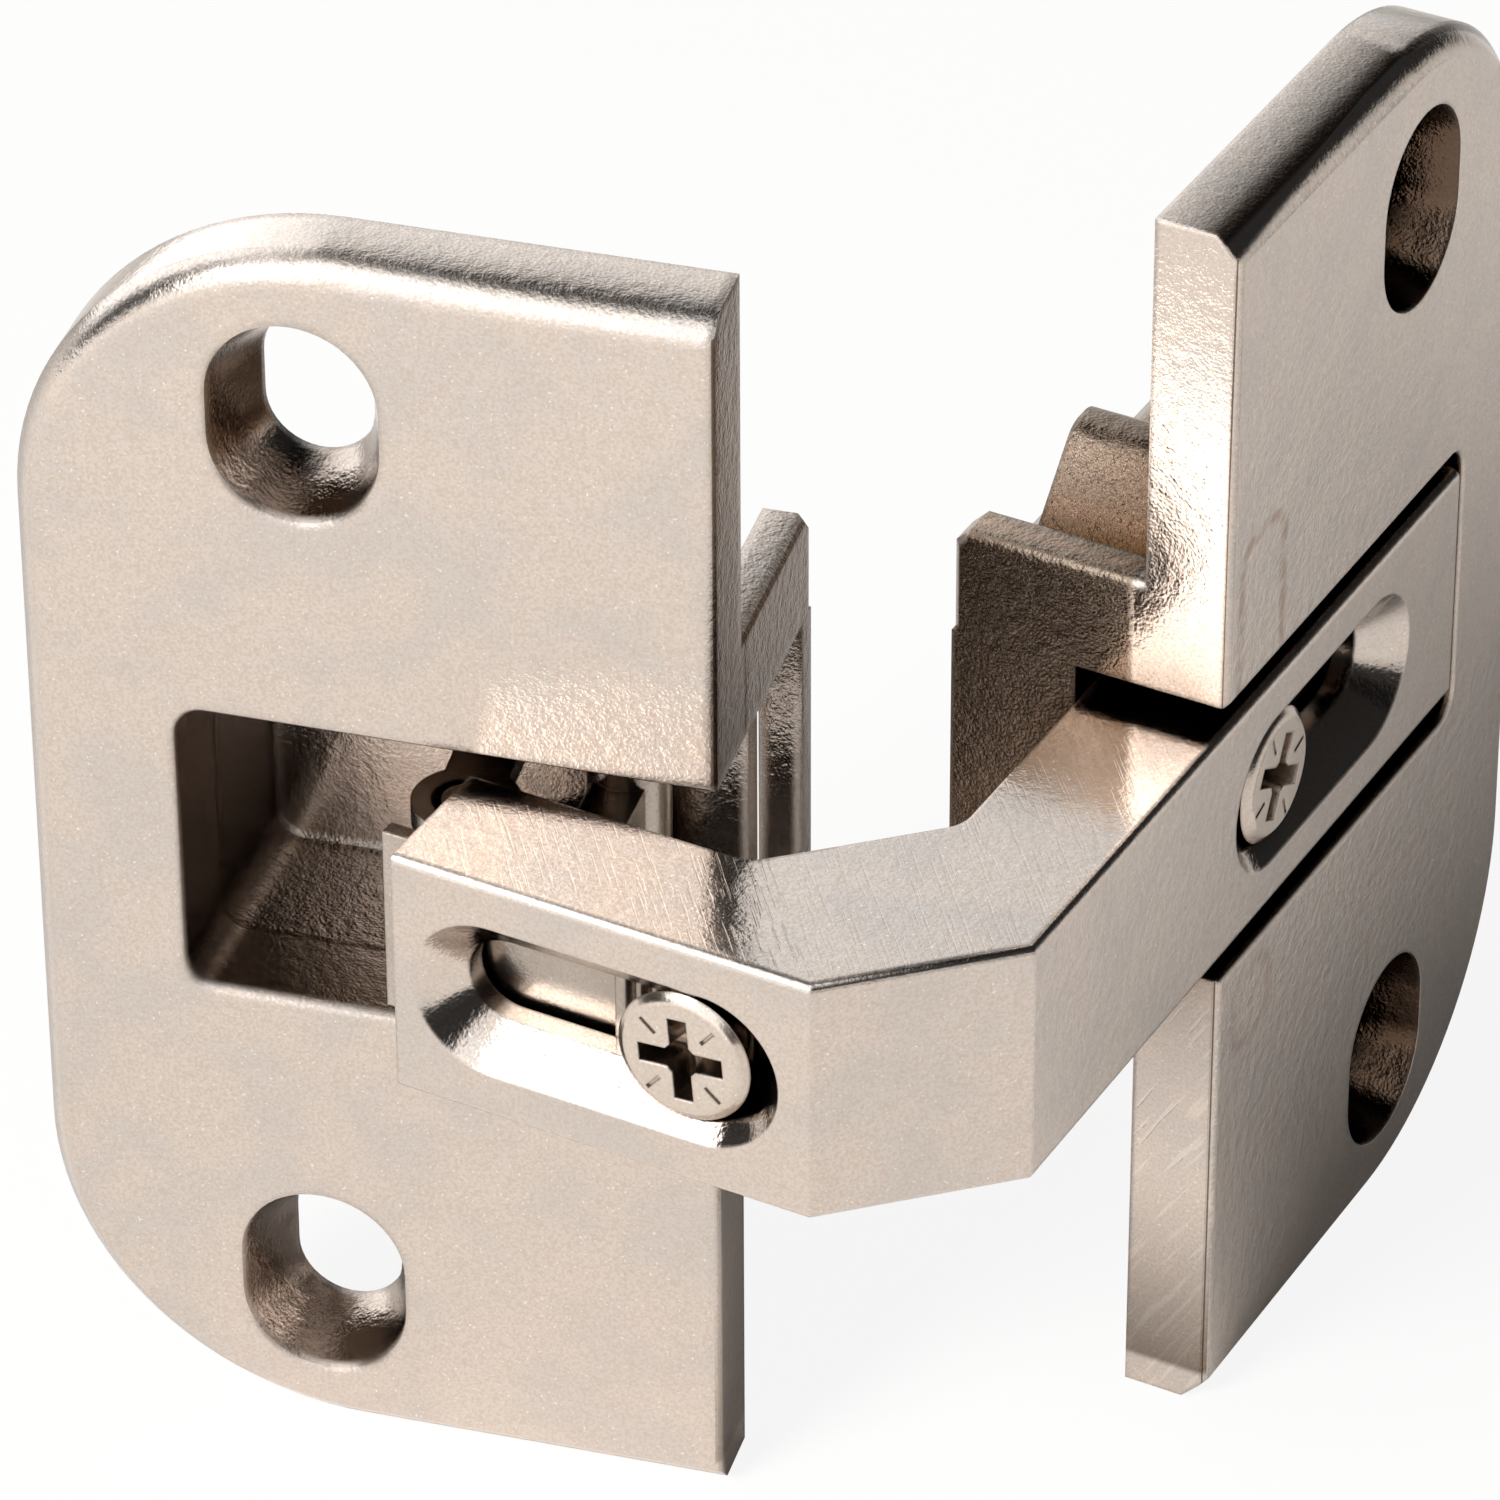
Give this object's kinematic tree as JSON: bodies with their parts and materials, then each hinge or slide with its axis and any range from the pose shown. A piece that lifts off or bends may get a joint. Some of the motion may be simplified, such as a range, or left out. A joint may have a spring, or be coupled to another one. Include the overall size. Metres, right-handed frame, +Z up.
{
  "type": "pie cut corner hinge",
  "caption": "Concealed hinge for a folding corner cabinet door: two rounded leaf plates with recesses, joined by a bent cast arm on link pairs, each end clamped in a slot by a screw.",
  "frame": {"origin": "on the right plate's seat face, midway between its two screw slots", "axes": "+X out of the right plate's front, +Y along that plate away from the arm, +Z up along the fold axes"},
  "size_m": [0.0436, 0.0515, 0.056],
  "materials": {
    "cast_nickel": "satin nickel plate on a die casting",
    "screw_nickel": "bright nickel plate",
    "link_steel": "plated steel"
  },
  "bodies": {
    "right_plate": {"right_plate": "cast_nickel", "right_inner_housing_pin": "link_steel", "right_outer_housing_pin_upper": "link_steel", "right_outer_housing_pin_lower": "link_steel"},
    "right_inner_link": {"right_inner_link": "link_steel"},
    "right_outer_links": {"right_outer_link_upper": "link_steel", "right_outer_link_lower": "link_steel"},
    "arm": {"arm": "cast_nickel", "right_carrier": "link_steel", "right_clamp_screw": "screw_nickel", "right_inner_carrier_pin": "link_steel", "right_outer_carrier_pin": "link_steel", "left_carrier": "link_steel", "left_clamp_screw": "screw_nickel", "left_inner_carrier_pin": "link_steel", "left_outer_carrier_pin": "link_steel"},
    "left_inner_link": {"left_inner_link": "link_steel"},
    "left_plate": {"left_plate": "cast_nickel", "left_inner_housing_pin": "link_steel", "left_outer_housing_pin_upper": "link_steel", "left_outer_housing_pin_lower": "link_steel"},
    "left_outer_links": {"left_outer_link_upper": "link_steel", "left_outer_link_lower": "link_steel"}
  },
  "joints": [
    {"name": "right_fold", "type": "hinge", "parent": "right_plate", "child": "right_inner_link", "pos_m": [-0.0043, -0.01086, 0], "axis": [0, 0, -1], "range_deg": [0, 112.32]},
    {"name": "right_arm_turn", "type": "hinge", "parent": "right_inner_link", "child": "arm", "pos_m": [-0.0028, -0.0026, 0], "axis": [0, 0, -1], "range_deg": [-130.4, 0]},
    {"name": "right_outer_fold", "type": "hinge", "parent": "right_plate", "child": "right_outer_links", "pos_m": [-0.00504, -0.00594, 0], "axis": [0, 0, -1], "range_deg": [0, 112.4]},
    {"name": "left_arm_turn", "type": "hinge", "parent": "arm", "child": "left_inner_link", "pos_m": [-0.017, -0.03315, 0], "axis": [0, 0, 1], "range_deg": [-91.7, 38.7]},
    {"name": "left_fold", "type": "hinge", "parent": "left_inner_link", "child": "left_plate", "pos_m": [-0.01874, -0.02494, 0], "axis": [0, 0, -1], "range_deg": [-79, 33.32]},
    {"name": "left_outer_fold", "type": "hinge", "parent": "left_plate", "child": "left_outer_links", "pos_m": [-0.0237, -0.02529, 0], "axis": [0, 0, 1], "range_deg": [-79.6, 33.6]}
  ],
  "couplings": [
    {"joint": "right_arm_turn", "follows": "right_fold", "ratio": -1.1603},
    {"joint": "right_outer_fold", "follows": "right_fold", "ratio": 0.99581},
    {"joint": "left_arm_turn", "follows": "left_fold", "ratio": 1.1603},
    {"joint": "left_outer_fold", "follows": "left_fold", "ratio": 1.007}
  ]
}
